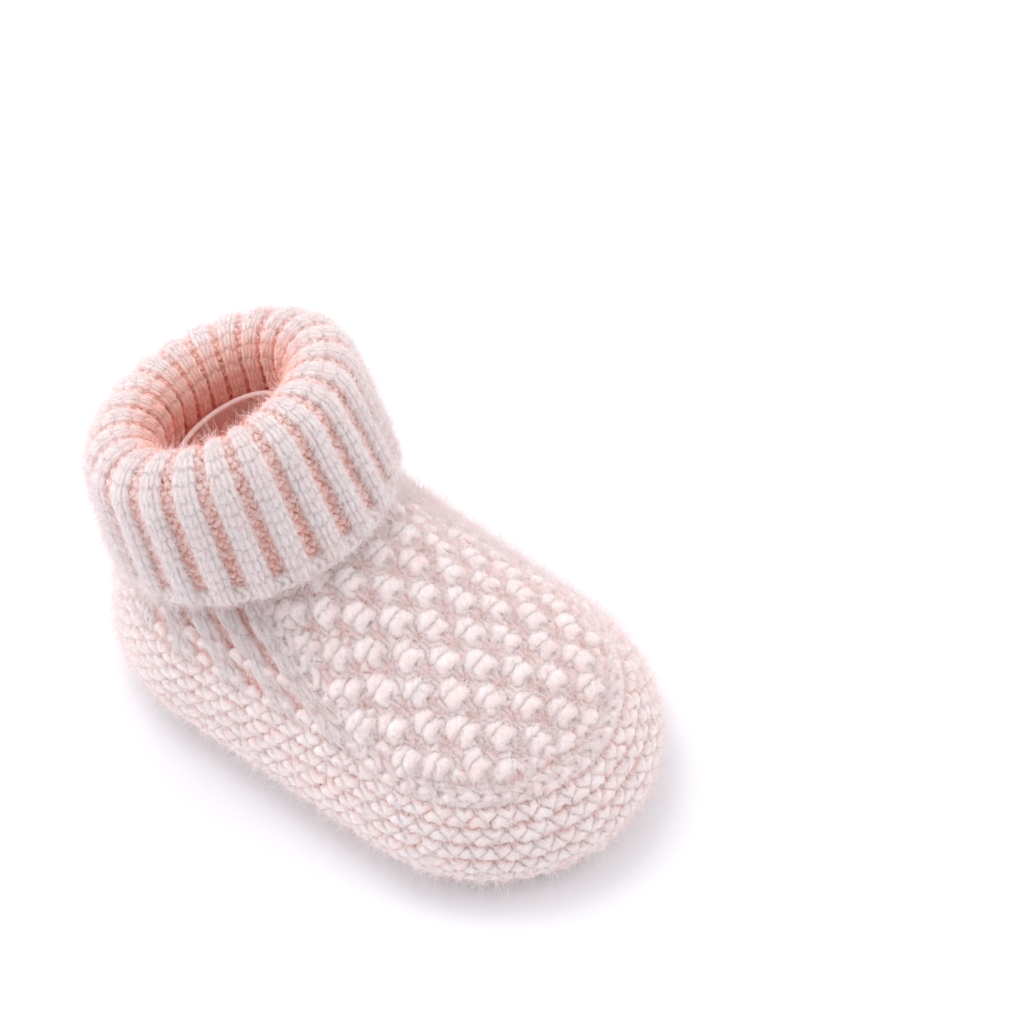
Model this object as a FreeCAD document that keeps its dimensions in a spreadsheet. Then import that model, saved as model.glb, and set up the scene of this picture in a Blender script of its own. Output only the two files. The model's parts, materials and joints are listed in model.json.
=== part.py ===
"""Knitted baby bootie with a turned-down ribbed cuff and a clear plastic former.

Frame: +X towards the toe, +Y to the left of the foot, +Z up. The sole lies on z = 0 and the
origin is under the middle of the whole bootie. All sizes are millimetres and degrees.
"""
import FreeCAD, Part
import Sketcher
import math
import os

V = FreeCAD.Vector

# Driving dimensions. Each name is the alias of a cell in the Dimensions sheet.
SIZES = {
    # fabric
    "wall": 3.0,              # thickness of the knitted wall
    "wall_drop": 2.4,         # how far the cavity's top lies under the instep's outer face
    "sole_thickness": 3.0,
    "band_top": 21.0,         # where the purl band ends and the ankle ribbing starts
    "foot_top": 38.0,         # where the foot ends and the leg tube starts
    # instep panel, seen from above
    "tongue_rear": -18.0,
    "tongue_toe": 42.0,
    "tongue_rear_radius": 17.0,
    "tongue_toe_radius": 22.5,
    "seam_width": 1.8,        # width of the chain ridge round the instep panel
    "cutter_floor": 9.0,      # the instep cutters start below the panel's edge
    # mattress seams
    "stitch_width": 2.4,
    "sole_seam_rear": -37.0,
    "sole_seam_front": 39.0,
    "heel_seam_front": -30.0,
    # leg: ovals stacked on an axis that leans towards the heel, long half-size across the foot
    "lean": 18.0,
    "leg_x": -25.8,           # where the axis meets the plane of the cuff's lower edge
    "leg_z": 31.0,
    "tube_start": -10.0,      # the leg tube is built from here and trimmed at foot_top
    "tube_long": 18.0,        # outer half-sizes of the leg tube in the plane of the hem
    "tube_short": 17.9,
    "fold_height": 17.5,      # from the plane of the hem to the middle of the rolled top
    "fold_long": 18.5,        # half-sizes of the rolled top's centre line
    "fold_short": 14.0,
    "fold_radius": 6.5,
    "hem_long": 25.0,         # outer half-sizes of the cuff's lower edge
    "hem_short": 24.0,
    "hem_half": 1.8,          # half the height of the bind-off edge
    "hem_proud": 0.5,         # how far the bind-off edge stands out of the cuff
    # clear plastic former, a straight oval tube on the leg's axis
    "former_long": 11.0,
    "former_short": 7.0,
    "former_wall": 0.6,
    "former_bottom": -26.4,
    "former_top": 14.0,
    "lip_proud": 0.2,
    "lip_height": 1.0,
}

# Level outlines of the foot: height, heel end, toe end, heel radius, toe radius.
LEVELS = {
    "sole": (0.0, -43.0, 45.0, 22.5, 22.5),
    "welt": (3.0, -47.0, 49.0, 26.5, 26.5),
    "swell": (8.5, -49.0, 51.0, 28.5, 28.5),
    "rand": (14.0, -48.8, 48.2, 27.8, 27.0),
    "edge": (18.5, -47.4, 44.0, 26.4, 24.5),
    "vamp": (22.5, -45.0, 38.0, 24.2, 20.5),
    "crown": (26.0, -43.6, 29.0, 22.0, 16.0),
    "arch": (29.5, -42.9, 15.5, 19.6, 12.5),
    "shin": (33.0, -42.5, 2.5, 17.6, 13.0),
    "ankle": (38.0, -42.2, -11.5, 15.3, 15.2),
}
LEVEL_FIELDS = ("height", "heel", "toe", "heel_radius", "toe_radius")
SINKING_LEVELS = ("edge", "vamp", "crown", "arch", "shin")   # the cavity sinks under these
CUTTER_HEIGHT = 70.0
CUTTER_SPAN = 160.0

doc = FreeCAD.newDocument("baby_bootie")
sheet = doc.addObject("Spreadsheet::Sheet", "Dimensions")
nodes = []


def fill_sheet():
    """Write every driving dimension into the sheet, with its alias."""
    cells = dict(SIZES)
    for level, values in LEVELS.items():
        for field, value in zip(LEVEL_FIELDS, values):
            cells[level + "_" + field] = value
    for row, (alias, value) in enumerate(cells.items(), start=1):
        sheet.set("A%d" % row, alias)
        sheet.set("B%d" % row, str(value))
        sheet.setAlias("B%d" % row, alias)
    doc.recompute()


def bound(expression):
    """Point the plain names in an expression at the sheet's cells."""
    words = expression.replace("(", "( ").replace(")", " )").split()
    return " ".join("Dimensions." + word if word[0].isalpha() else word for word in words)


def value_of(expression):
    """Work out an expression of the sheet's cells as a number."""
    return float(sheet.evalExpression(expression))


def bind(thing, settings):
    """Bind each named property of an object to an expression of the sheet's cells."""
    for name, expression in settings.items():
        thing.setExpression(name, bound(expression))
    return thing


# ---- outlines ---------------------------------------------------------------------------

def egg(name, height, heel, toe, heel_radius, toe_radius):
    """Draw a heel arc and a toe arc joined by two tangent lines; all sizes are expressions."""
    rear_radius = value_of(heel_radius)
    front_radius = value_of(toe_radius)
    rear = V(value_of(heel) + rear_radius, 0, 0)
    front = V(value_of(toe) - front_radius, 0, 0)
    angle = math.acos((rear_radius - front_radius) / (front.x - rear.x))
    left = V(math.cos(angle), math.sin(angle), 0)
    right = V(left.x, -left.y, 0)
    up = V(0, 0, 1)
    sketch = doc.addObject("Sketcher::SketchObject", name)
    heel_arc, right_line, toe_arc, left_line = sketch.addGeometry([
        Part.ArcOfCircle(Part.Circle(rear, up, rear_radius), angle, 2 * math.pi - angle),
        Part.LineSegment(rear + right * rear_radius, front + right * front_radius),
        Part.ArcOfCircle(Part.Circle(front, up, front_radius), -angle, angle),
        Part.LineSegment(front + left * front_radius, rear + left * rear_radius),
    ], False)
    start, end, centre = 1, 2, 3
    x_axis = -1
    sketch.addConstraint([
        Sketcher.Constraint("Tangent", heel_arc, end, right_line, start),
        Sketcher.Constraint("Tangent", right_line, end, toe_arc, start),
        Sketcher.Constraint("Tangent", toe_arc, end, left_line, start),
        Sketcher.Constraint("Tangent", left_line, end, heel_arc, start),
        Sketcher.Constraint("PointOnObject", heel_arc, centre, x_axis),
        Sketcher.Constraint("PointOnObject", toe_arc, centre, x_axis),
    ])
    driven = {
        "heel_centre": (Sketcher.Constraint("DistanceX", x_axis, start, heel_arc, centre, rear.x),
                        "( %s ) + ( %s )" % (heel, heel_radius)),
        "toe_centre": (Sketcher.Constraint("DistanceX", x_axis, start, toe_arc, centre, front.x),
                       "( %s ) - ( %s )" % (toe, toe_radius)),
        "heel_round": (Sketcher.Constraint("Radius", heel_arc, rear_radius), heel_radius),
        "toe_round": (Sketcher.Constraint("Radius", toe_arc, front_radius), toe_radius),
    }
    for label, (constraint, expression) in driven.items():
        sketch.renameConstraint(sketch.addConstraint(constraint), label)
        bind(sketch, {"Constraints." + label: expression})
    return bind(sketch, {"Placement.Base.z": height})


def oval(name, height, long_half, short_half):
    """Make a level oval on the leg's own axis, with its long half-size across the foot."""
    ring = doc.addObject("Part::Ellipse", name)
    ring.Placement.Rotation = FreeCAD.Rotation(V(0, 0, 1), 90)
    return bind(ring, {"MajorRadius": long_half, "MinorRadius": short_half,
                       "Placement.Base.z": height})


# ---- solids -----------------------------------------------------------------------------

def loft(name, sections, ruled=False):
    solid = doc.addObject("Part::Loft", name)
    solid.Sections = sections
    solid.Solid = True
    solid.Ruled = ruled
    return solid


def boolean(kind, name, base, tool):
    result = doc.addObject("Part::" + kind, name)
    result.Base = base
    result.Tool = tool
    return result


def box(name, low_x, long_x, half_y, low_z, long_z):
    """Make a box from low_x and low_z, centred on the foot's middle plane."""
    block = doc.addObject("Part::Box", name)
    return bind(block, {"Length": long_x, "Width": "2 * ( %s )" % half_y, "Height": long_z,
                        "Placement.Base.x": low_x, "Placement.Base.y": "-1 * ( %s )" % half_y,
                        "Placement.Base.z": low_z})


def slab(name, low_z, high_z):
    """Make a slab between two heights that is wider than the foot."""
    return box(name, str(-CUTTER_SPAN / 2), str(CUTTER_SPAN), str(CUTTER_SPAN / 2), low_z,
               "( %s ) - ( %s )" % (high_z, low_z))


def prism(name, outline):
    """Extrude a level outline upwards, through the whole instep."""
    solid = doc.addObject("Part::Extrusion", name)
    solid.Base = outline
    solid.DirMode = "Custom"
    solid.Dir = V(0, 0, 1)
    solid.LengthFwd = CUTTER_HEIGHT
    solid.Solid = True
    return solid


def leaning(thing):
    """Put a solid that was built upright on the leg's leaning axis."""
    thing.Placement.Rotation = FreeCAD.Rotation(V(0, -1, 0), SIZES["lean"])
    return bind(thing, {"Placement.Rotation.Angle": "lean", "Placement.Base.x": "leg_x",
                        "Placement.Base.z": "leg_z"})


def piece(thing, label):
    """Name a finished sub-part."""
    thing.Label = label
    nodes.append(thing)
    return thing


# ---- foot -------------------------------------------------------------------------------

def level_size(level, field, inside=False):
    """Give the expression of one size of a level outline, or of the cavity inside it."""
    cell = level + "_" + field
    if not inside:
        return cell
    if field == "height":
        if level == "welt":
            return "sole_thickness"
        if level == "ankle":
            return cell + " + wall"
        return cell + " - wall_drop" if level in SINKING_LEVELS else cell
    sign = " + " if field == "heel" else " - "
    return cell + sign + "wall"


def foot_form(name, levels, inside=False):
    outlines = [egg(name + "_" + level, *[level_size(level, field, inside) for field in LEVEL_FIELDS])
                for level in levels]
    return loft(name, outlines, ruled=True)


def tongue(name, grow):
    """Make the upright cutter of the instep panel, grown by an expression all round."""
    outline = egg(name + "_outline", "cutter_floor", "tongue_rear - ( %s )" % grow,
                  "tongue_toe + ( %s )" % grow, "tongue_rear_radius + ( %s )" % grow,
                  "tongue_toe_radius + ( %s )" % grow)
    return prism(name, outline)


def build_foot():
    """Cut one hollow foot into sole, band, instep, ankle and the seams between them."""
    outer = foot_form("foot_outer", list(LEVELS))
    cavity = foot_form("foot_cavity", [level for level in LEVELS if level != "sole"], inside=True)
    shell = boolean("Cut", "foot_shell", outer, cavity)

    sole_slab = slab("sole_slab", "-1 * wall", "sole_thickness")
    sole_panel = boolean("Common", "sole_panel", shell, sole_slab)
    sole_stitch = box("sole_stitch", "sole_seam_rear", "sole_seam_front - sole_seam_rear",
                      "stitch_width / 2", "-1 * wall", "3 * wall")
    piece(boolean("Cut", "sole", sole_panel, sole_stitch), "sole")
    piece(boolean("Common", "sole_seam", sole_panel, sole_stitch), "sole_seam")

    inner_tongue = tongue("tongue_inside_seam", "0 * wall")
    outer_tongue = tongue("tongue_with_seam", "seam_width")
    piece(boolean("Common", "instep_panel", shell, inner_tongue), "instep_panel")
    seam_ring = boolean("Cut", "seam_ring", outer_tongue, inner_tongue)
    piece(boolean("Common", "instep_seam", shell, seam_ring), "instep_seam")

    sides = boolean("Cut", "sides", shell, outer_tongue)
    ankle_slab = slab("ankle_slab", "band_top", "foot_top")
    piece(boolean("Common", "ankle_rib", sides, ankle_slab), "ankle_rib")
    band = boolean("Common", "band", sides, slab("band_slab", "sole_thickness", "band_top"))
    heel_stitch = box("heel_stitch", "swell_heel - wall", "heel_seam_front - swell_heel + wall",
                      "stitch_width / 2", "sole_thickness", "band_top - sole_thickness")
    piece(boolean("Cut", "side_band", band, heel_stitch), "side_band")
    piece(boolean("Common", "heel_seam", band, heel_stitch), "heel_seam")


# ---- leg and cuff -----------------------------------------------------------------------

def ring(name, outer, inner):
    """Make a ring from two stacks of ovals, each oval (height, long half, short half)."""
    outside = loft(name + "_outside", [oval("%s_outside_%d" % (name, i), *o)
                                       for i, o in enumerate(outer)])
    inside = loft(name + "_inside", [oval("%s_inside_%d" % (name, i), *o)
                                     for i, o in enumerate(inner)])
    return boolean("Cut", name, outside, inside)


def roll(name, radius):
    """Make a solid half-torus over the fold's centre line, of the given section radius."""
    def section(angle, side):
        across = "( %s ) * %.6f" % (radius, side * math.cos(math.radians(angle)))
        rise = "fold_height + ( %s ) * %.6f" % (radius, math.sin(math.radians(angle)))
        return rise, "fold_long + " + across, "fold_short + " + across
    angles = (0, 22.5, 45, 67.5, 90)
    return ring(name, [section(angle, 1) for angle in angles],
                [section(angle, -1) for angle in angles])


def build_leg():
    """Build the ribbed leg tube, its rolled top, the turned-down cuff and its edge."""
    tube = leaning(ring(
        "leg_tube",
        [("tube_start", "tube_long + wall / 2", "tube_short + wall / 2"),
         ("0 * wall", "tube_long", "tube_short"),
         ("fold_height", "fold_long - fold_radius + wall", "fold_short - fold_radius + wall")],
        [("tube_start - wall", "tube_long - wall / 2", "tube_short - wall / 2"),
         ("0 * wall", "tube_long - wall", "tube_short - wall"),
         ("fold_height", "fold_long - fold_radius", "fold_short - fold_radius")]))
    below = slab("below_leg", "-1 * wall", "foot_top")
    piece(boolean("Cut", "leg_rib", tube, below), "leg_rib")

    rolled = boolean("Cut", "rolled_top", roll("roll_outer", "fold_radius"),
                     roll("roll_inner", "fold_radius - wall"))
    piece(leaning(rolled), "cuff_fold")

    cuff = ring(
        "cuff_wall",
        [("hem_half", "hem_long", "hem_short"),
         ("fold_height", "fold_long + fold_radius", "fold_short + fold_radius")],
        [("hem_half", "hem_long - wall", "hem_short - wall"),
         ("fold_height", "fold_long + fold_radius - wall", "fold_short + fold_radius - wall")])
    piece(leaning(cuff), "turned_cuff")

    edge = ring(
        "cuff_edge",
        [("-1 * hem_half", "hem_long", "hem_short"),
         ("0 * wall", "hem_long + hem_proud", "hem_short + hem_proud"),
         ("hem_half", "hem_long", "hem_short")],
        [("-1 * hem_half", "hem_long - wall", "hem_short - wall"),
         ("hem_half", "hem_long - wall", "hem_short - wall")])
    piece(leaning(edge), "cuff_bind_off")


def build_former():
    """Build the clear oval tube that keeps the leg open, with a small lip at its mouth."""
    tube = ring(
        "former_tube",
        [("former_bottom", "former_long", "former_short"),
         ("former_top", "former_long", "former_short")],
        [("former_bottom", "former_long - former_wall", "former_short - former_wall"),
         ("former_top", "former_long - former_wall", "former_short - former_wall")])
    lip = ring(
        "former_lip",
        [("former_top - lip_height", "former_long + lip_proud", "former_short + lip_proud"),
         ("former_top", "former_long + lip_proud", "former_short + lip_proud")],
        [("former_top - lip_height", "former_long - former_wall", "former_short - former_wall"),
         ("former_top", "former_long - former_wall", "former_short - former_wall")])
    piece(leaning(boolean("Fuse", "former_body", tube, lip)), "plastic_former")


# ---- checks and export ------------------------------------------------------------------

def check_document():
    """Stop if any object failed or any sub-part is empty or not valid."""
    for thing in doc.Objects:
        if "Invalid" in thing.State or "Error" in thing.State:
            raise RuntimeError("%s did not build: %s" % (thing.Name, thing.State))
    for thing in nodes:
        if thing.Shape.isNull() or not thing.Shape.isValid():
            raise RuntimeError("%s has no valid shape" % thing.Label)


def export_pieces():
    os.makedirs("parts", exist_ok=True)
    whole = FreeCAD.BoundBox()
    for thing in nodes:
        thing.Shape.exportStep(os.path.join("parts", thing.Label + ".step"))
        whole.add(thing.Shape.optimalBoundingBox(False, False))
        print("%-15s %d solid(s) %9.1f mm3" % (thing.Label, len(thing.Shape.Solids),
                                                thing.Shape.Volume))
    print("box x %.2f %.2f  y %.2f %.2f  z %.2f %.2f" % (
        whole.XMin, whole.XMax, whole.YMin, whole.YMax, whole.ZMin, whole.ZMax))


fill_sheet()
build_foot()
build_leg()
build_former()
doc.recompute()
check_document()
export_pieces()
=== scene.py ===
import json
import math
import bpy
import numpy as np
from mathutils import Matrix, Vector

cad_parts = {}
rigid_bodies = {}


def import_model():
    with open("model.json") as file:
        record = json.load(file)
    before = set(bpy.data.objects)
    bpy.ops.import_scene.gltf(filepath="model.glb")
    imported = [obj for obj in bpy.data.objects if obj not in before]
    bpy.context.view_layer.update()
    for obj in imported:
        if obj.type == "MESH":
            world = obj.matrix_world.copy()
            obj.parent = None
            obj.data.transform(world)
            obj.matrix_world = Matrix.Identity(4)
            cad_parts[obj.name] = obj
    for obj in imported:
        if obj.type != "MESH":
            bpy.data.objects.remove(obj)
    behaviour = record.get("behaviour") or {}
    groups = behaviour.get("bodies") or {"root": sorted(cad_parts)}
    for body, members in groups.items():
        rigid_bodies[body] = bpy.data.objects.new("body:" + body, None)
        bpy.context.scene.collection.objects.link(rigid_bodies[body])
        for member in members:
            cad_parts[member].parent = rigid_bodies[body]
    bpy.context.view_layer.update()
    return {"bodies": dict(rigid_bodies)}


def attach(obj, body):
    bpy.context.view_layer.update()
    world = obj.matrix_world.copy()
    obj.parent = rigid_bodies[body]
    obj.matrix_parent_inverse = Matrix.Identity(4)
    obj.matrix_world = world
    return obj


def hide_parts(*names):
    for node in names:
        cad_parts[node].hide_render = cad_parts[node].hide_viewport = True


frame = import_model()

MM = 0.001
RNG = np.random.default_rng(7)

# ---- the foot's form --------------------------------------------------------------------
# Level outlines of the foot, as in the CAD: height, heel end, toe end, heel and toe radius.
LEVELS = np.array((
    (0.0, -43.0, 45.0, 22.5, 22.5),
    (3.0, -47.0, 49.0, 26.5, 26.5),
    (8.5, -49.0, 51.0, 28.5, 28.5),
    (14.0, -48.8, 48.2, 27.8, 27.0),
    (18.5, -47.4, 44.0, 26.4, 24.5),
    (22.5, -45.0, 38.0, 24.2, 20.5),
    (26.0, -43.6, 29.0, 22.0, 16.0),
    (29.5, -42.9, 15.5, 19.6, 12.5),
    (33.0, -42.5, 2.5, 17.6, 13.0),
    (38.0, -42.2, -11.5, 15.3, 15.2),
))
TONGUE = (-18.0, 42.0, 17.0, 22.5)      # rear end, toe end, rear and toe radius, seen from above
SEAM_WIDTH = 1.8
BAND_TOP = 21.0                         # where the band meets the ankle
LOWEST_TOP = 14.0                       # the upper surface nowhere lies lower than this

# Leg: ovals on an axis that leans towards the heel.
LEAN = math.radians(18.0)
LEG_BASE = np.array((-25.8, 0.0, 31.0))
FOLD_HEIGHT = 17.5
FOLD_HALF = np.array((18.5, 14.0))      # half-sizes across and along the foot
FOLD_RADIUS = 6.5
HEM_HALF = np.array((25.0, 24.0))
INNER_LOW_HEIGHT = 3.0
INNER_LOW_HALF = np.array((14.6, 14.0))


def bisect(low, high, is_low, steps):
    """Halve a range again and again, keeping the half where is_low turns from true to false."""
    for _ in range(steps):
        middle = (low + high) / 2
        below = is_low(middle)
        low, high = np.where(below, middle, low), np.where(below, high, middle)
    return low


def slopes(x, y):
    """Give slopes that keep a curve through the points free of overshoot."""
    step = np.diff(x)[:, None]
    rise = np.diff(y, axis=0) / step
    inner = np.where(rise[:-1] * rise[1:] > 0,
                     2 * rise[:-1] * rise[1:] / (rise[:-1] + rise[1:] + 1e-12), 0.0)
    return np.vstack((rise[:1], inner, rise[-1:]))


LEVEL_SLOPES = slopes(LEVELS[:, 0], LEVELS[:, 1:])


def level(z):
    """Read heel end, toe end, heel radius and toe radius at any height."""
    x, y, m = LEVELS[:, 0], LEVELS[:, 1:], LEVEL_SLOPES
    z = np.clip(z, x[0], x[-1])
    k = np.clip(np.searchsorted(x, z, side="right") - 1, 0, len(x) - 2)
    step = x[k + 1] - x[k]
    t = ((z - x[k]) / step)[..., None]
    step = step[..., None]
    return ((2 * t**3 - 3 * t**2 + 1) * y[k] + (t**3 - 2 * t**2 + t) * step * m[k]
            + (3 * t**2 - 2 * t**3) * y[k + 1] + (t**3 - t**2) * step * m[k + 1])


def egg_point(share, heel, toe, heel_r, toe_r):
    """Walk round an egg outline; share 0 is the toe, 0.25 about the left side, 0.5 the heel."""
    share = np.mod(share, 1.0)
    half = np.where(share > 0.5, 1.0 - share, share) * 2
    rear, front = heel + heel_r, toe - toe_r
    gap = np.maximum(front - rear, 1e-6)
    turn = np.arccos(np.clip((heel_r - toe_r) / gap, -1, 1))
    turn = np.where(gap < 1e-3, np.pi / 2, turn)
    line = np.sqrt(np.maximum(gap**2 - (heel_r - toe_r)**2, 0))
    toe_arc, heel_arc = turn * toe_r, (np.pi - turn) * heel_r
    walk = half * (toe_arc + line + heel_arc)
    on_toe = walk < toe_arc
    on_heel = walk > toe_arc + line
    toe_angle = walk / toe_r
    heel_angle = turn + (walk - toe_arc - line) / heel_r
    along = (walk - toe_arc) / np.maximum(line, 1e-9)
    toe_end = (front + toe_r * np.cos(turn), toe_r * np.sin(turn))
    heel_end = (rear + heel_r * np.cos(turn), heel_r * np.sin(turn))
    x = np.where(on_toe, front + toe_r * np.cos(toe_angle),
                 np.where(on_heel, rear + heel_r * np.cos(heel_angle),
                          toe_end[0] + (heel_end[0] - toe_end[0]) * along))
    y = np.where(on_toe, toe_r * np.sin(toe_angle),
                 np.where(on_heel, heel_r * np.sin(heel_angle),
                          toe_end[1] + (heel_end[1] - toe_end[1]) * along))
    return x, np.where(share > 0.5, -y, y)


def egg_gap(x, y, heel, toe, heel_r, toe_r):
    """Give the distance outside an egg outline; it is negative inside."""
    rear, front = heel + heel_r, toe - toe_r
    gap = np.maximum(front - rear, 1e-6)
    y = np.abs(y)
    lean = np.clip((heel_r - toe_r) / gap, -1, 1)
    rise = np.sqrt(1 - lean**2)
    px = x - rear
    along = px * rise - y * lean
    to_rear = np.hypot(px, y) - heel_r
    to_front = np.hypot(px - gap, y) - toe_r
    to_line = px * lean + y * rise - heel_r
    return np.where(along < 0, to_rear, np.where(along > gap * rise, to_front, to_line))


def side_point(share, z):
    """Give a point of the foot's side at a height."""
    x, y = egg_point(share, *np.moveaxis(level(z), -1, 0))
    return np.stack((x, y, z * np.ones_like(x)), -1)


def top_height(x, y):
    """Give the height of the foot's upper surface over a point of the floor plan."""
    def inside(z):
        return egg_gap(x, y, *np.moveaxis(level(z), -1, 0)) < 0

    return bisect(np.full_like(x, LOWEST_TOP), np.full_like(x, LEVELS[-1, 0]), inside, 22)


def with_normals(place, u, v, side=1.0):
    """Evaluate a surface and its unit normals by small steps."""
    d = 1e-3
    here = place(u, v)
    across = place(u + d, v) - place(u - d, v)
    up = place(u, v + d) - place(u, v - d)
    normal = np.cross(across, up) * side
    return here, normal / np.maximum(np.linalg.norm(normal, axis=-1, keepdims=True), 1e-12)


# ---- knitting ---------------------------------------------------------------------------
TALL, BULGE = 0.92, 0.20                # half a loop's height in rows, and how wide its bulb is


def course(kinds, above, tall, deep, bulge, samples=14, ring=False):
    """Give one course of loops as u in stitches, v in rows and w in depth.

    kinds holds +1 for each knit and -1 for each purl stitch, and above those of the next row.
    tall is half a loop's height in rows, deep its half-depth and bulge how wide its bulb is.
    """
    count = len(kinds)
    kinds, above = np.asarray(kinds, float), np.asarray(above, float)
    before = np.roll(kinds, 1)
    after = np.roll(kinds, -1)
    if not ring:
        before[0], after[-1] = kinds[0], kinds[-1]
    t = np.linspace(0, 2 * np.pi, samples, endpoint=False)[None, :]
    i = np.arange(count)[:, None]
    bulb = bulge * (1 + 0.12 * RNG.standard_normal((count, 1)))
    uneven = RNG.standard_normal((3, count, 1)) * np.sin(t / 2)**2
    u = i + t / (2 * np.pi) + bulb * np.sin(2 * t) + 0.035 * uneven[0]
    v = -tall * np.cos(t) + 0.08 * uneven[1]
    sink = np.where(t < np.pi, before[:, None] + kinds[:, None], kinds[:, None] + after[:, None])
    down, up = np.maximum(np.cos(t), 0)**2, np.maximum(-np.cos(t), 0)**2
    w = deep * (kinds[:, None] * np.sin(t)**2 - above[:, None] * up - sink / 2 * down)
    w = w + deep * 0.12 * uneven[2]
    return u.ravel(), v.ravel(), w.ravel()


def add_object(name, data):
    """Put a new object into the scene."""
    thing = bpy.data.objects.new(name, data)
    bpy.context.scene.collection.objects.link(thing)
    return thing


class Yarn:
    """Collects yarn paths, sweeps each into a round strand and joins them into one mesh."""

    def __init__(self, name, sides=7):
        self.name, self.sides = name, sides
        self.points, self.faces, self.uvs, self.depth, self.caps = [], [], [], [], []
        self.fuzz = []
        self.total = 0

    def sweep(self, path, normal, radius, buried, ring=False):
        """Sweep a strand along a path; buried is how deep its axis lies in the fabric."""
        count, sides = len(path), self.sides
        radius = np.broadcast_to(radius, (count,))[:, None]
        lumps = 1 + 0.05 * RNG.standard_normal((count, sides, 1))
        if ring:
            tangent = np.roll(path, -1, 0) - np.roll(path, 1, 0)
        else:
            tangent = np.gradient(path, axis=0)
        tangent /= np.maximum(np.linalg.norm(tangent, axis=1, keepdims=True), 1e-12)
        across = np.cross(tangent, normal)
        across /= np.maximum(np.linalg.norm(across, axis=1, keepdims=True), 1e-12)
        out = np.cross(across, tangent)
        # The section starts on the hidden side, so that its seam doesn't show.
        angle = np.pi + 2 * np.pi * np.arange(sides) / sides
        spoke = (np.cos(angle)[None, :, None] * out[:, None]
                 + np.sin(angle)[None, :, None] * across[:, None])
        skin = path[:, None] + lumps * radius[..., None] * spoke
        rise = (spoke * normal[:, None]).sum(-1)
        rows = count if ring else count - 1
        a = np.arange(rows)[:, None] * sides + np.arange(sides)[None, :]
        b = np.arange(rows)[:, None] * sides + (np.arange(sides)[None, :] + 1) % sides
        quads = np.stack((a, b, (b + sides) % (count * sides), (a + sides) % (count * sides)), -1)
        self.faces.append(quads.reshape(-1, 4) + self.total)
        steps = np.linalg.norm(np.roll(path, -1, 0) - path, axis=1)
        if not ring:
            steps[-1] = 0.0
        run = np.concatenate(([0.0], np.cumsum(steps)))
        turn = np.arange(sides + 1) / sides
        uv = np.empty((rows, sides, 4, 2))
        uv[..., 0, 0] = uv[..., 1, 0] = run[:rows, None]
        uv[..., 2, 0] = uv[..., 3, 0] = run[1:rows + 1, None]
        uv[..., 0, 1] = uv[..., 3, 1] = turn[None, :-1]
        uv[..., 1, 1] = uv[..., 2, 1] = turn[None, 1:]
        self.uvs.append(uv.reshape(-1, 2))
        self.points.append(skin.reshape(-1, 3))
        # The depth sets the painted shade: a yarn's underside and yarn laid deeper take warmer,
        # darker colours.
        depth = (np.broadcast_to(buried, (count,))[:, None] - radius * rise).ravel()
        self.depth.append(depth)
        shown = rise.ravel() > -0.1
        self.fuzz.append((skin.reshape(-1, 3)[shown], spoke.reshape(-1, 3)[shown],
                          np.repeat(tangent, sides, 0)[shown], depth[shown],
                          (steps[:, None] * radius * np.ones(sides)).ravel()[shown]))
        if not ring:
            self.caps.append(self.total + np.arange(sides)[::-1])
            self.caps.append(self.total + (count - 1) * sides + np.arange(sides))
        self.total += count * sides

    def back(self, points, depth):
        """Lay a sheet under the stitches, for the fibres that fill the gaps between them; its
        depth paints it in the deep shade colour seen through the gaps.
        """
        rows, count = points.shape[:2]
        a = (np.arange(rows - 1)[:, None] * count + np.arange(count - 1)[None, :]).ravel()
        quads = np.stack((a, a + 1, a + count + 1, a + count), -1)
        self.faces.append(quads + self.total)
        self.uvs.append(np.zeros((quads.size, 2)))
        self.points.append(points.reshape(-1, 3))
        self.depth.append(np.full(rows * count, depth))
        self.total += rows * count

    def build(self, material, nodes, body="bootie"):
        """Make the mesh object, let it ride on its body and stand for its CAD nodes."""
        points = np.concatenate(self.points) * MM
        quads = np.concatenate(self.faces)
        loops = np.concatenate([quads.ravel()] + self.caps)
        sizes = np.concatenate((np.full(len(quads), 4), np.full(len(self.caps), self.sides)))
        mesh = bpy.data.meshes.new(self.name)
        mesh.vertices.add(len(points))
        mesh.vertices.foreach_set("co", points.ravel())
        mesh.loops.add(len(loops))
        mesh.loops.foreach_set("vertex_index", loops.astype(np.int32))
        mesh.polygons.add(len(sizes))
        starts = np.concatenate(([0], np.cumsum(sizes)[:-1]))
        mesh.polygons.foreach_set("loop_start", starts.astype(np.int32))
        mesh.polygons.foreach_set("use_smooth", np.ones(len(sizes), bool))
        uv = mesh.uv_layers.new(name="yarn")
        cap_uv = np.zeros((self.sides * len(self.caps), 2))
        uv.data.foreach_set("uv", np.concatenate(self.uvs + [cap_uv]).ravel())
        shade = mesh.attributes.new("depth", "FLOAT", "POINT")
        shade.data.foreach_set("value", np.concatenate(self.depth))
        mesh.update(calc_edges=True)
        mesh.materials.append(material)
        thing = add_object(self.name, mesh)
        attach(thing, body)
        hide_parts(*nodes)
        return thing


# ---- the foot's panels ------------------------------------------------------------------


def tongue_gap(spot, grow):
    """Give the distance of points from the instep's outline, grown by a seam's width."""
    outline = (TONGUE[0] - grow, TONGUE[1] + grow, TONGUE[2] + grow, TONGUE[3] + grow)
    return egg_gap(spot[..., 0], spot[..., 1], *outline)


def seam_share(z):
    """Find how far round from the toe the side at a height leaves the instep's outline."""
    def inside(share):
        return tongue_gap(side_point(share, z), SEAM_WIDTH) < 0

    return bisect(np.full_like(z, 0.0), np.full_like(z, 0.5), inside, 22)


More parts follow.
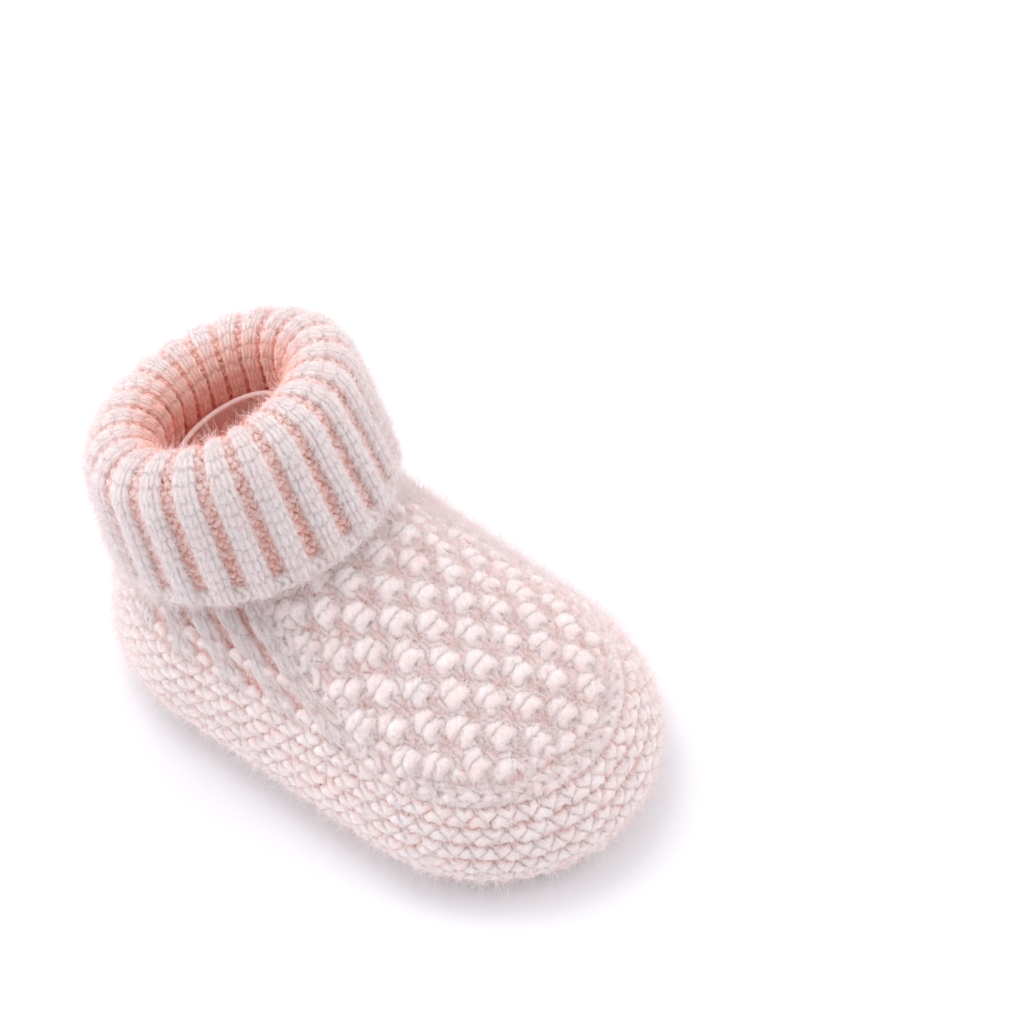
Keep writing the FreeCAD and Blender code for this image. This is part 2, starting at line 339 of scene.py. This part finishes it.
def band_top(share):
    """Find the band's upper edge, which runs under the instep's seam and the ankle."""
    def outside(z):
        return tongue_gap(side_point(share, z), SEAM_WIDTH * 0.5) > 0

    return bisect(np.full_like(share, LOWEST_TOP), np.full_like(share, BAND_TOP), outside, 20)


BAND_ROWS = 6
BAND_STITCHES = 70
BAND_LOW = 4.2


def band_place(share, row):
    """Place a point of the band; row 0 lies along the sole."""
    top = np.interp(np.mod(share, 1.0), BAND_SHARES, BAND_TOPS)
    return side_point(share, BAND_LOW + (top - BAND_LOW) * row / BAND_ROWS)


BAND_SHARES = np.linspace(0, 1, 241)
BAND_TOPS = band_top(BAND_SHARES)

SOLE_ROWS = 30
SOLE_STITCH = 3.9
SOLE_OUTLINE = (-46.0, 48.0, 25.5, 25.5)    # heel end, toe end, heel and toe radius
SOLE_FLAT = LEVELS[0, 1:]                   # inside this outline the sole lies on the floor


def sole_half(x):
    """Give the sole's half-width over a point of the long axis."""
    def inside(y):
        return egg_gap(x, y, *SOLE_OUTLINE) < 0

    return bisect(np.zeros_like(x), np.full_like(x, 30.0), inside, 20)


def sole_x(row):
    """Give a sole course's place along the foot."""
    first, length = -45.0, 92.0
    return first + length * row / SOLE_ROWS


def sole_place(offset, row):
    """Place a point of the sole by its distance from the middle line."""
    x = sole_x(row)
    past_flat = np.maximum(egg_gap(x, offset, *SOLE_FLAT) + 0.5, 0)
    return np.stack((x, offset + 0 * x, 0.42 * past_flat**1.25), -1)


# The ridge of the instep, from the toe seam back to the ankle, by arc length.
RIDGE_Z = np.linspace(19.0, 38.0, 200)
RIDGE_X = level(RIDGE_Z)[:, 1]
RIDGE_RUN = np.concatenate(([0.0], np.cumsum(np.hypot(np.diff(RIDGE_X), np.diff(RIDGE_Z)))))
INSTEP_STITCH = 3.45
INSTEP_ROW = 2.45
INSTEP_ROWS = 24
# Arc length across the instep, tabled over the floor plan.
PLAN_SIZE = 90
PLAN_X = np.linspace(-24.0, 44.0, PLAN_SIZE)
PLAN_Y = np.linspace(0.0, 25.0, PLAN_SIZE)
PLAN_Z = top_height(*np.meshgrid(PLAN_X, PLAN_Y, indexing="ij"))
PLAN_STEPS = np.hypot(np.diff(PLAN_Y)[None, :], np.diff(PLAN_Z, axis=1))
PLAN_RUN = np.concatenate((np.zeros((PLAN_SIZE, 1)), np.cumsum(PLAN_STEPS, axis=1)), axis=1)


def instep_x(row):
    """Give an instep course's place along the foot; row 0 lies at the toe seam."""
    start = np.interp(-TONGUE[1], -RIDGE_X, RIDGE_RUN)
    run = start + INSTEP_ROW * (row + 0.4)
    past_ridge = np.maximum(run - RIDGE_RUN[-1], 0)
    return np.interp(run, RIDGE_RUN, RIDGE_X) - past_ridge


def tongue_half(x):
    """Give the instep's half-width over a point of the long axis, and 0 beyond its ends."""
    def inside(y):
        return egg_gap(x, y, *TONGUE) < 0

    return bisect(np.zeros_like(x), np.full_like(x, 24.0), inside, 20)


def instep_y(x, run):
    """Turn an arc length across the instep into a distance from the middle line."""
    k = np.clip((x - PLAN_X[0]) / (PLAN_X[1] - PLAN_X[0]), 0, PLAN_SIZE - 1.001)
    i = k.astype(int)

    def read(rows):
        """Read the table at whole rows."""
        found = [np.interp(size, PLAN_RUN[row], PLAN_Y)
                 for size, row in zip(np.abs(run).ravel(), rows.ravel())]
        return np.reshape(found, run.shape)

    return np.sign(run) * (read(i) * (1 - (k - i)) + read(i + 1) * (k - i))


def instep_place(run, row):
    """Place a point of the instep by its arc length from the middle line."""
    x = instep_x(row)
    y = instep_y(x, run)
    return np.stack((x, y, top_height(x, y)), -1)


ANKLE_ROWS = 8
ANKLE_STITCHES = 58
ANKLE_TOP = 38.5


def ankle_place(share, row):
    """Place a point of the ankle; share runs round the heel from seam to seam."""
    z = BAND_TOP + (ANKLE_TOP - BAND_TOP) * row / ANKLE_ROWS
    start = np.interp(z, ANKLE_Z, ANKLE_START)
    return side_point(start + (1 - 2 * start) * share, z)


ANKLE_Z = np.linspace(19.0, 38.0, 60)
ANKLE_START = seam_share(ANKLE_Z)

# ---- the leg and its cuff ---------------------------------------------------------------
LEG_STITCHES = 92
CUFF_ROW = 2.15
FABRIC = 1.5                            # half the fabric's thickness
# Lengths along the fabric: up inside the leg, over the fold, and down to the hem.
INNER_RUN = FOLD_HEIGHT - INNER_LOW_HEIGHT
FOLD_RUN = math.pi * (FOLD_RADIUS - FABRIC)
OUTER_RUN = FOLD_HEIGHT
FOLD_TOP = INNER_RUN + FOLD_RUN / 2
FOLD_END = INNER_RUN + FOLD_RUN
HEM_RUN = FOLD_END + OUTER_RUN
# How the rib changes along the fabric: the knit pairs' share of the width, the height of their
# relief, and how much deeper than it lies the yarn's colour is read: painted shade that deepens
# down inside the leg.
CUFF_STOPS = (0, INNER_RUN, FOLD_TOP, FOLD_END, HEM_RUN - 6, HEM_RUN)
KNIT_SHARE = (0.66, 0.64, 0.56, 0.52, 0.49, 0.48)
RELIEF = (0.6, 0.45, 0.2, 0.6, 0.9, 0.6)
MOUTH_SHADE_RUN = (0, INNER_RUN, FOLD_TOP)
MOUTH_SHADE_DEPTH = (4.5, 2.4, 0.15)


def leg_section(run):
    """Give half-sizes across and along the foot, and height, along the leg's fabric."""
    r = FOLD_RADIUS - FABRIC
    low = np.clip(run / INNER_RUN, 0, 1)[..., None]
    inner = INNER_LOW_HALF - FABRIC + (FOLD_HALF - r - INNER_LOW_HALF + FABRIC) * low**1.3
    inner_h = INNER_LOW_HEIGHT + run
    turn = np.clip((run - INNER_RUN) / r, 0, math.pi)
    fold = FOLD_HALF - r * np.cos(turn)[..., None]
    fold_h = FOLD_HEIGHT + r * np.sin(turn)
    past = run - INNER_RUN - FOLD_RUN
    down = np.clip(past / OUTER_RUN, 0, 1.2)[..., None]
    outer = FOLD_HALF + r + (HEM_HALF - FABRIC - FOLD_HALF - r) * down
    outer_h = FOLD_HEIGHT - past
    on_inner, on_outer = run < INNER_RUN, past > 0
    half = np.where(on_inner[..., None], inner, np.where(on_outer[..., None], outer, fold))
    return half, np.where(on_inner, inner_h, np.where(on_outer, outer_h, fold_h))


def in_leg(points):
    """Turn points in the leg's own leaning frame into the object's frame."""
    across, along, height = np.moveaxis(points, -1, 0)
    c, s = math.cos(LEAN), math.sin(LEAN)
    return np.stack((LEG_BASE[0] + along * c - height * s, LEG_BASE[1] + across,
                     LEG_BASE[2] + along * s + height * c), -1)


def oval_angle(share, half):
    """Turn a share of an oval's outline into its drawing angle."""
    ratio = half[..., 0] / half[..., 1]
    turn = 2 * np.pi * share
    return turn - 0.25 * (ratio - 1) / (ratio + 1) * 2 * np.sin(2 * turn)


def rib_warp(share, tight):
    """Crowd the purl stitches of a 2 by 2 rib, so that the knit pair takes tight of it."""
    repeats = LEG_STITCHES / 4
    place = share * repeats
    whole, part = np.floor(place), np.mod(place, 1.0)
    warped = np.where(part < 0.5, part * 2 * tight, tight + (part - 0.5) * 2 * (1 - tight))
    return (whole + warped) / repeats


def leg_place(share, run):
    """Place a point of the leg's fabric, from inside the ankle over the fold to the hem."""
    half, height = leg_section(run)
    turn = oval_angle(share, half)
    return in_leg(np.stack((half[..., 0] * np.sin(turn), half[..., 1] * np.cos(turn),
                            height), -1))


# ---- materials --------------------------------------------------------------------------


def new_material(name):
    """Add a material with nodes and give it with its node tree and its shader."""
    material = bpy.data.materials.new(name)
    material.use_nodes = True
    return material, material.node_tree, material.node_tree.nodes["Principled BSDF"]


def socket(shader, name, value):
    """Set one input of a node by name."""
    shader.inputs[name].default_value = value


def math_node(tree, operation, first, second=0.0):
    """Add a math node; each input is a number or a socket."""
    node = tree.nodes.new("ShaderNodeMath")
    node.operation = operation
    for place, value in ((0, first), (1, second)):
        if isinstance(value, (int, float)):
            node.inputs[place].default_value = value
        else:
            tree.links.new(value, node.inputs[place])
    return node.outputs[0]


def mix_colour(tree, factor, first, second):
    """Add a node that blends two colours by a factor socket and give its output."""
    node = tree.nodes.new("ShaderNodeMix")
    node.data_type = "RGBA"
    tree.links.new(factor, node.inputs[0])
    for place, colour in ((6, first), (7, second)):
        if isinstance(colour, tuple):
            node.inputs[place].default_value = colour
        else:
            tree.links.new(colour, node.inputs[place])
    return node.outputs[2]


def scale_range(tree, value, low, high, to_low=0.0, to_high=1.0):
    """Add a node that maps a value from one range to another."""
    node = tree.nodes.new("ShaderNodeMapRange")
    node.interpolation_type = "SMOOTHSTEP"
    tree.links.new(value, node.inputs[0])
    for place, number in zip((1, 2, 3, 4), (low, high, to_low, to_high)):
        node.inputs[place].default_value = number
    return node.outputs[0]


def noise(tree, vector, size, detail=2.0):
    """Add a noise node over a vector socket."""
    node = tree.nodes.new("ShaderNodeTexNoise")
    tree.links.new(vector, node.inputs["Vector"])
    socket(node, "Scale", size)
    socket(node, "Detail", detail)
    return node.outputs["Fac"]


def round_yarn(tree, twist, along, around):
    """Give a texture place that runs along a yarn and closes round it, with a twist."""
    uv = tree.nodes.new("ShaderNodeUVMap")
    uv.uv_map = "yarn"
    parts = tree.nodes.new("ShaderNodeSeparateXYZ")
    tree.links.new(uv.outputs["UV"], parts.inputs[0])
    run, turn = parts.outputs[0], parts.outputs[1]
    angle = math_node(tree, "ADD", math_node(tree, "MULTIPLY", turn, 2 * math.pi),
                      math_node(tree, "MULTIPLY", run, twist))
    joined = tree.nodes.new("ShaderNodeCombineXYZ")
    tree.links.new(math_node(tree, "MULTIPLY", run, along), joined.inputs[0])
    for place, operation in ((1, "COSINE"), (2, "SINE")):
        side = math_node(tree, "MULTIPLY", math_node(tree, operation, angle), around)
        tree.links.new(side, joined.inputs[place])
    return joined.outputs[0]


def wool_with_painted_shade(tree):
    """Paint shade into the wool's colour by how deep in the fabric a point lies: warm in the
    crevices, deep salmon further down.
    """
    depth = tree.nodes.new("ShaderNodeAttribute")
    depth.attribute_name = "depth"
    depth = depth.outputs["Fac"]
    # Painted shade: crevices turn warm; the deepest places, the gaps and the inside of the leg,
    # turn deep salmon.
    base = mix_colour(tree, scale_range(tree, depth, 0.2, 1.9), PINK, WARM_TONE_AND_SHADE)
    return mix_colour(tree, scale_range(tree, depth, 2.2, 4.4), base, DEEP_SHADE)


def yarn_material(name):
    """Make soft, fuzzy yarn with painted shade: it turns to warmer colours down between its
    stitches and in the grooves of its twist.
    """
    material, tree, shader = new_material(name)
    where = tree.nodes.new("ShaderNodeTexCoord")
    fibre = noise(tree, round_yarn(tree, 1.1, 0.45, 3.2), 1.0, 4.0)
    base = wool_with_painted_shade(tree)
    mottle = scale_range(tree, noise(tree, where.outputs["Object"], 240.0), 0.35, 0.75, 0.0, 0.22)
    base = mix_colour(tree, mottle, base, WARM_TONE_AND_SHADE)
    # Painted shade: the low grooves of the fibre twist, which the bump also sinks, take the warm
    # colour.
    strand = scale_range(tree, fibre, 0.35, 0.6, 0.22, 0.0)
    base = mix_colour(tree, strand, base, WARM_TONE_AND_SHADE)
    tree.links.new(base, shader.inputs["Base Color"])
    socket(shader, "Roughness", 0.95)
    socket(shader, "Specular IOR Level", 0.1)
    socket(shader, "Sheen Weight", 0.12)
    socket(shader, "Sheen Roughness", 0.6)
    socket(shader, "Sheen Tint", (1.0, 0.93, 0.91, 1))
    socket(shader, "Subsurface Weight", 0.5)
    socket(shader, "Subsurface Radius", (1.0, 0.85, 0.8))
    socket(shader, "Subsurface Scale", 0.0016)
    bump = tree.nodes.new("ShaderNodeBump")
    socket(bump, "Strength", 0.45)
    socket(bump, "Distance", 0.0005)
    tree.links.new(fibre, bump.inputs["Height"])
    tree.links.new(bump.outputs["Normal"], shader.inputs["Normal"])
    return material


def plastic_material(name, alpha, colour):
    """Make thin clear moulded plastic with faint flow marks."""
    material, tree, shader = new_material(name)
    socket(shader, "Base Color", colour)
    socket(shader, "Alpha", alpha)
    socket(shader, "IOR", 1.5)
    where = tree.nodes.new("ShaderNodeTexCoord")
    flow = noise(tree, where.outputs["Object"], 90.0, 3.0)
    tree.links.new(scale_range(tree, flow, 0.3, 0.7, 0.06, 0.16), shader.inputs["Roughness"])
    bump = tree.nodes.new("ShaderNodeBump")
    socket(bump, "Strength", 0.15)
    socket(bump, "Distance", 0.0004)
    tree.links.new(flow, bump.inputs["Height"])
    tree.links.new(bump.outputs["Normal"], shader.inputs["Normal"])
    return material


def fuzz_material():
    """Make the loose fibres that stand off the yarn, with the yarn's painted shade by depth."""
    material, tree, shader = new_material("fuzz")
    tree.links.new(wool_with_painted_shade(tree), shader.inputs["Base Color"])
    socket(shader, "Roughness", 0.9)
    socket(shader, "Specular IOR Level", 0.1)
    return material


# PINK is the wool's own colour. The warm colour paints shade in crevices and also gives random
# tone; the deep one paints shade far down.
PINK = (0.87, 0.822, 0.828, 1)
WARM_TONE_AND_SHADE = (0.95, 0.53, 0.45, 1)
DEEP_SHADE = (0.95, 0.34, 0.24, 1)
KNIT = yarn_material("knit_yarn")
SEAM = yarn_material("seam_yarn")

# ---- knitted pieces ---------------------------------------------------------------------


def all_purl(count):
    """Show the purl side all over."""
    return np.full(count, -1.0)


def moss(row, count):
    """Give double moss stitch, counted from the middle of the course.

    The knit stitches lie flatter than the purl ones, which draw together and stand up.
    """
    i = np.arange(count) - count // 2
    return np.where((i + row // 2) % 2 == 0, 0.4, -1.0)


def rib(count):
    """Give a 2 by 2 rib."""
    return np.where(np.arange(count) % 4 < 2, 1.0, -1.0)


def rib_relief(u, edge=1.4):
    """Raise the knit pairs of a rib and sink its purl pairs."""
    return np.tanh(edge * np.cos(2 * np.pi * (u - 1.0) / 4)) / np.tanh(edge)


def facing(normal, axis, sign):
    """Turn normals so that one component has a given sign."""
    return np.where(normal[..., axis:axis + 1] * sign < 0, -normal, normal)


def make_band():
    """Knit the side band, purl side out, as rings round the foot."""
    yarn = Yarn("side_band_knit")
    sunk, deep, radius = 1.75, 0.7, 1.12
    for row in range(BAND_ROWS + 1):
        kinds = all_purl(BAND_STITCHES)
        u, v, w = course(kinds, kinds, TALL, deep, BULGE, ring=True)
        here, normal = with_normals(band_place, u / BAND_STITCHES, row + v)
        lift = w - sunk
        yarn.sweep(here + lift[:, None] * normal, normal, radius, -lift, ring=True)
    share, row = np.meshgrid(np.linspace(0, 1, 181), np.linspace(-0.8, BAND_ROWS, 18))
    here, normal = with_normals(band_place, share, row)
    yarn.back(here - (sunk + 0.5) * normal, 3.6)
    yarn.build(KNIT, ("side_band",))
    return yarn


def make_sole():
    """Knit the sole, purl side out, in courses across the foot."""
    yarn = Yarn("sole_knit")
    sunk, deep, radius = 2.0, 0.7, 1.1
    for row in range(SOLE_ROWS + 1):
        half = float(sole_half(np.array([sole_x(row)]))[0])
        count = 2 * max(1, round(half / SOLE_STITCH))
        kinds = all_purl(count)
        u, v, w = course(kinds, kinds, TALL, deep, BULGE)
        offset = (u - count / 2) / (count / 2) * (half - 0.6)
        here, normal = with_normals(sole_place, offset, row + v)
        normal = facing(normal, 2, -1)
        lift = w - sunk
        yarn.sweep(here + lift[:, None] * normal, normal, radius, -lift)
    share, row = np.meshgrid(np.linspace(-1, 1, 33), np.linspace(0, SOLE_ROWS, 91))
    offset = share * (sole_half(sole_x(row)) - 0.3)
    here, normal = with_normals(sole_place, offset, row)
    yarn.back(here - (sunk + 0.4) * facing(normal, 2, -1), 3.8)
    yarn.build(KNIT, ("sole",))
    return yarn


def instep_half(x):
    """Give the instep's half-width, measured over its surface."""
    reach = tongue_half(x)
    k = np.round((x - PLAN_X[0]) / (PLAN_X[1] - PLAN_X[0]))
    k = np.clip(k, 0, PLAN_SIZE - 1).astype(int)
    found = [np.interp(y, PLAN_Y, PLAN_RUN[i]) for y, i in zip(reach.ravel(), k.ravel())]
    return np.reshape(found, x.shape)


def make_instep():
    """Knit the instep panel in double moss stitch, straight across the foot."""
    yarn = Yarn("instep_knit", sides=8)
    puff, spread, gather = 0.4, 0.16, 0.18
    sunk, deep, radius = 2.4, 0.75, 1.75
    for row in range(INSTEP_ROWS):
        half = float(instep_half(instep_x(np.array([float(row)])))[0])
        if half < INSTEP_STITCH * 0.8:
            continue
        count = 2 * max(1, round(half / INSTEP_STITCH))
        u, v, w = course(moss(row, count), moss(row + 1, count), TALL, deep, BULGE, 16)
        # Each purl pair puffs up, spreads sideways and draws its two rows together.
        middle = u - count / 2
        turn = np.pi * (row + v - 0.4) / 2
        wave = np.cos(turn)
        bump = -np.cos(np.pi * (middle - 0.5)) * wave
        near = np.cos(np.pi * (middle - 0.5)) * np.sin(turn)
        middle = middle - spread * np.sin(np.pi * (middle - 0.5)) * wave
        run = middle * INSTEP_STITCH
        spare = half - 0.3 - count / 2 * INSTEP_STITCH
        run = run + spare * np.sign(run) * np.abs(middle / (count / 2))**3
        here, normal = with_normals(instep_place, run, row + v + gather * near)
        normal = facing(normal, 2, 1)
        lift = w - sunk + puff * bump
        yarn.sweep(here + lift[:, None] * normal, normal, radius, -lift)
    share, row = np.meshgrid(np.linspace(-1, 1, 33), np.linspace(-0.4, INSTEP_ROWS - 1.4, 60))
    run = share * instep_half(instep_x(row))
    here, normal = with_normals(instep_place, run, row)
    yarn.back(here - (sunk + 0.5) * facing(normal, 2, 1), 3.6)
    yarn.build(KNIT, ("instep_panel",))
    return yarn


def make_ankle():
    """Knit the ankle in 2 by 2 rib round the heel."""
    yarn = Yarn("ankle_knit")
    sunk, deep, radius, relief = 2.0, 0.6, 0.92, 0.5
    for row in range(ANKLE_ROWS):
        kinds = rib(ANKLE_STITCHES)
        u, v, w = course(kinds, kinds, TALL, deep, BULGE)
        here, normal = with_normals(ankle_place, u / ANKLE_STITCHES, row + v)
        lift = w - sunk + relief * rib_relief(u)
        yarn.sweep(here + lift[:, None] * normal, normal, radius, -lift)
    share, row = np.meshgrid(np.linspace(0, 1, 90), np.linspace(-0.4, ANKLE_ROWS - 0.5, 16))
    here, normal = with_normals(ankle_place, share, row)
    yarn.back(here - (sunk + 0.6) * normal, 3.6)
    yarn.build(KNIT, ("ankle_rib",))
    return yarn


def make_leg_part(name, node, first, last):
    """Knit one length of the leg's 2 by 2 rib, between two runs along the fabric."""
    yarn = Yarn(name)
    tall, deep, bulge = 0.88, 0.55, 0.17
    for row in range(round(first / CUFF_ROW), round(last / CUFF_ROW)):
        kinds = rib(LEG_STITCHES)
        u, v, w = course(kinds, kinds, tall, deep, bulge, ring=True)
        run = (row + v) * CUFF_ROW
        share = rib_warp(u / LEG_STITCHES, np.interp(run, CUFF_STOPS, KNIT_SHARE))
        here, normal = with_normals(leg_place, share, run, -1.0)
        half, _ = leg_section(run)
        # The stitches are finer where the leg is narrower.
        scale = np.interp(half.mean(-1), (9.0, 14.0, 24.0), (0.62, 0.82, 1.0))
        rise = rib_relief(u)
        lift = (w + np.interp(run, CUFF_STOPS, RELIEF) * rise) * scale - 0.15
        radius = scale * (0.70 + 0.10 * rise)
        # Painted shade: inside the leg the colour is read deeper still, darkest far down, and a
        # little deeper beyond the fold's top.
        buried = 1.3 * scale - lift + np.interp(run, MOUTH_SHADE_RUN, MOUTH_SHADE_DEPTH)
        yarn.sweep(here + lift[:, None] * normal, normal, radius, buried, True)
    share, run = np.meshgrid(np.linspace(0, 1, 161),
                             np.linspace(first, last, max(4, int((last - first) / 1.2))))
    here, normal = with_normals(leg_place, share, run, -1.0)
    yarn.back(here - 0.9 * normal, 3.6)
    yarn.build(KNIT, (node,))
    return yarn


def chain(name, nodes, place, links, half, radius, sink):
    """Work a chain of overlapping loops; place maps (across, links along) to a surface."""
    yarn = Yarn(name)
    t = np.linspace(0, 2 * np.pi, 18, endpoint=False)
    for link in range(links):
        size = 1 + 0.05 * RNG.standard_normal()
        across = half * size * np.sin(t) * (1.0 - 0.22 * np.cos(t))
        along = link + 0.5 - 0.86 * np.cos(t)
        here, normal = with_normals(place, across, along)
        lift = -sink - 0.42 * radius * np.cos(t)
        yarn.sweep(here + lift[:, None] * normal, normal, radius, 0.3 * radius - lift - sink,
                   ring=True)
    yarn.build(SEAM, nodes)
    return yarn


def make_instep_seam():
    """Run a chain along the seam between the instep and the band."""
    outline = [size + grow for size, grow in zip(TONGUE, np.array((-1, 1, 1, 1)) * 0.9)]
    links = 46
    sewn = 0.86                 # the share of the outline, about the toe, that is sewn

    def place(across, along):
        share = 1.0 + (along / links - 0.5) * sewn
        x, y = egg_point(share, *outline)
        ahead = np.stack(egg_point(share + 1e-3, *outline), -1)
        step = ahead - np.stack((x, y), -1)
        step /= np.linalg.norm(step, axis=-1, keepdims=True)
        x, y = x + across * step[..., 1] * 0.8, y - across * step[..., 0] * 0.8
        return np.stack((x, y, top_height(x, y)), -1)

    return chain("instep_seam_chain", ("instep_seam",), place, links, 1.05, 0.85, 1.35)


def make_heel_seam():
    """Work the seam that closes the band up the back of the heel."""
    links, low, height, outline_length = 6, 3.6, 17.0, 250.0

    def place(across, along):
        return side_point(0.5 + across / outline_length, low + height * along / links)

    return chain("heel_seam_stitches", ("heel_seam",), place, links, 1.0, 0.8, 0.75)


def make_sole_seam():
    """Work the seam that closes the sole along the middle."""
    links, first, length = 24, -36.5, 75.0

    def place(across, along):
        x = first + length * along / links
        return np.stack((x, across, 0 * x), -1)

    return chain("sole_seam_stitches", ("sole_seam",), place, links, 1.0, 0.8, 1.12)


def make_bind_off():
    """Work the bind-off that finishes the hem of the turned cuff."""
    links = LEG_STITCHES

    def place(across, along):
        return leg_place(along / links, HEM_RUN + 0.4 + across)

    return chain("bind_off_chain", ("cuff_bind_off",), place, links, 0.9, 0.64, -0.1)


def make_former():
    """Make the clear oval tube with its rolled lip."""
    segments = 120
    half_wide, half_deep = 11.0, 7.0
    wall, low, top, lip = 0.6, -26.4, 14.0, 0.2
    # Out from the wall and up, from the outer foot round the lip to the inner foot.
    profile = [(0.0, low), (0.0, top - 1.1), (lip * 0.5, top - 0.95), (lip, top - 0.75),
               (lip, top - 0.25), (lip * 0.45, top - 0.05), (0.0, top), (-wall * 0.6, top - 0.1),
               (-wall, top - 0.4), (-wall, low)]
    turn = 2 * np.pi * np.arange(segments) / segments
    rings = [np.stack(((half_wide + off) * np.sin(turn), (half_deep + off) * np.cos(turn),
                       np.full(segments, height)), -1) for off, height in profile]
    points = in_leg(np.concatenate(rings)) * MM
    count = len(profile)
    i = np.arange(segments)
    beside = (i + 1) % segments
    faces = []
    for k in range(count):
        here, above = k * segments, (k + 1) % count * segments
        faces += np.stack((here + i, here + beside, above + beside, above + i), -1).tolist()
    mesh = bpy.data.meshes.new("former_shell")
    mesh.from_pydata(points.tolist(), [], faces)
    mesh.polygons.foreach_set("use_smooth", np.ones(len(faces), bool))
    # Painted shade and light: the wall is tinted dark salmon for the shaded inside seen through
    # it, the lip a paler pink for the light its thicker rim catches.
    mesh.materials.append(plastic_material("clear_plastic", 0.34, (0.62, 0.40, 0.36, 1)))
    mesh.materials.append(plastic_material("clear_plastic_lip", 0.6, (0.90, 0.76, 0.73, 1)))
    walls = (0, count - 2, count - 1)
    on_lip = np.repeat([0 if k in walls else 1 for k in range(count)], segments)
    mesh.polygons.foreach_set("material_index", on_lip.astype(np.int32))
    mesh.update()
    thing = add_object("former_shell", mesh)
    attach(thing, "former")
    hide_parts("plastic_former")


def make_fuzz(yarns, count):
    """Grow loose fibres on the yarns; they are only there for the render."""
    root, out, along, depth, area = (
        np.concatenate([part[k] for yarn in yarns for part in yarn.fuzz]) for k in range(5))
    chance = area * np.exp(-np.maximum(depth - 0.4, 0) / 0.8)
    pick = RNG.choice(len(root), count, p=chance / chance.sum())
    root, out, along, depth = root[pick], out[pick], along[pick], depth[pick]
    length = 0.4 + 1.7 * RNG.random((count, 1))**3
    lean = along * RNG.normal(0, 0.9, (count, 1)) + RNG.normal(0, 0.45, (count, 3))
    curl = RNG.normal(0, 0.5, (count, 3))
    steps = 5
    strands = np.empty((count, steps, 3))
    for k in range(steps):
        t = k / (steps - 1)
        strands[:, k] = root + length * t * (0.55 * out + lean + curl * t)
    fuzz = bpy.data.hair_curves.new("fuzz")
    fuzz.add_curves([steps] * count)
    fuzz.points.foreach_set("position", (strands * MM).ravel())
    radius = np.tile(np.linspace(0.022, 0.009, steps), count) * MM
    fuzz.points.foreach_set("radius", radius)
    shade = fuzz.attributes.new("depth", "FLOAT", "CURVE")
    shade.data.foreach_set("value", depth)
    fuzz.materials.append(fuzz_material())
    thing = add_object("fuzz", fuzz)
    thing.parent = frame["bodies"]["bootie"]


def make_bootie():
    """Knit and sew every piece, and put the former in."""
    outside = [
        make_band(),
        make_instep(),
        make_ankle(),
        make_leg_part("leg_knit", "leg_rib", 0.0, INNER_RUN),
        make_leg_part("cuff_fold_knit", "cuff_fold", INNER_RUN, FOLD_END),
        make_leg_part("turned_cuff_knit", "turned_cuff", FOLD_END, HEM_RUN + 0.9),
        make_instep_seam(),
        make_bind_off(),
        make_heel_seam(),
    ]
    make_sole()
    make_sole_seam()
    make_former()
    make_fuzz(outside, 400000)


# ---- stage, light and camera ------------------------------------------------------------


def make_floor():
    """Lay a white floor."""
    mesh = bpy.data.meshes.new("floor")
    size = 3.0
    mesh.from_pydata([(-size, -size, 0), (size, -size, 0), (size, size, 0), (-size, size, 0)],
                     [], [(0, 1, 2, 3)])
    floor = add_object("floor", mesh)
    material, _, shader = new_material("floor_white")
    socket(shader, "Base Color", (0.83, 0.85, 0.875, 1))
    socket(shader, "Roughness", 0.9)
    socket(shader, "Specular IOR Level", 0.1)
    mesh.materials.append(material)


def make_light(name, place, size, power, colour=(1, 1, 1)):
    """Hang a square soft light that looks at the bootie."""
    data = bpy.data.lights.new(name, "AREA")
    data.shape = "SQUARE"
    data.size = size
    data.energy = power
    data.color = colour
    light = add_object(name, data)
    light.location = place
    aim = Vector((0, 0, 0.02)) - Vector(place)
    light.rotation_euler = aim.to_track_quat("-Z", "Y").to_euler()


def make_glow():
    """Stand in for the light that comes through the knit, with a faint lamp in the heel."""
    data = bpy.data.lights.new("through_knit", "POINT")
    data.energy = 0.014
    data.color = (1.0, 0.45, 0.35)
    data.shadow_soft_size = 0.006
    light = add_object("through_knit", data)
    light.location = (-0.024, 0, 0.016)
    light.visible_camera = False


def make_camera():
    """Set the camera where the photograph was taken from."""
    azimuth, elevation = math.radians(38.06), math.radians(50.42)
    place = (0.2325, -0.2620, 0.4696)
    data = bpy.data.cameras.new("camera")
    data.sensor_width, data.lens = 36.0, 123.3
    data.clip_start, data.clip_end = 0.01, 20.0
    camera = add_object("camera", data)
    right = Vector((math.cos(azimuth), math.sin(azimuth), 0))
    back = Vector((math.sin(azimuth) * math.cos(elevation),
                   -math.cos(azimuth) * math.cos(elevation), math.sin(elevation)))
    up = back.cross(right)
    turn = Matrix((right, up, back)).transposed().to_4x4()
    camera.matrix_world = Matrix.Translation(place) @ turn
    bpy.context.scene.camera = camera


def make_world():
    """Surround the scene with soft white light."""
    world = bpy.data.worlds.new("world")
    world.use_nodes = True
    background = world.node_tree.nodes["Background"]
    socket(background, "Color", (0.99, 0.96, 0.98, 1))
    socket(background, "Strength", 0.97)
    bpy.context.scene.world = world
    bpy.context.scene.view_settings.view_transform = "Standard"


make_bootie()
make_floor()
make_light("key", (-0.45, 0.10, 0.85), 0.6, 3.45, (1.0, 0.98, 0.97))
make_light("left", (-0.60, -0.50, 0.35), 0.7, 2.5, (0.96, 0.97, 1.0))
make_glow()
make_light("fill", (0.60, 0.60, 0.50), 0.6, 2.0, (1.0, 0.94, 0.92))
make_camera()
make_world()
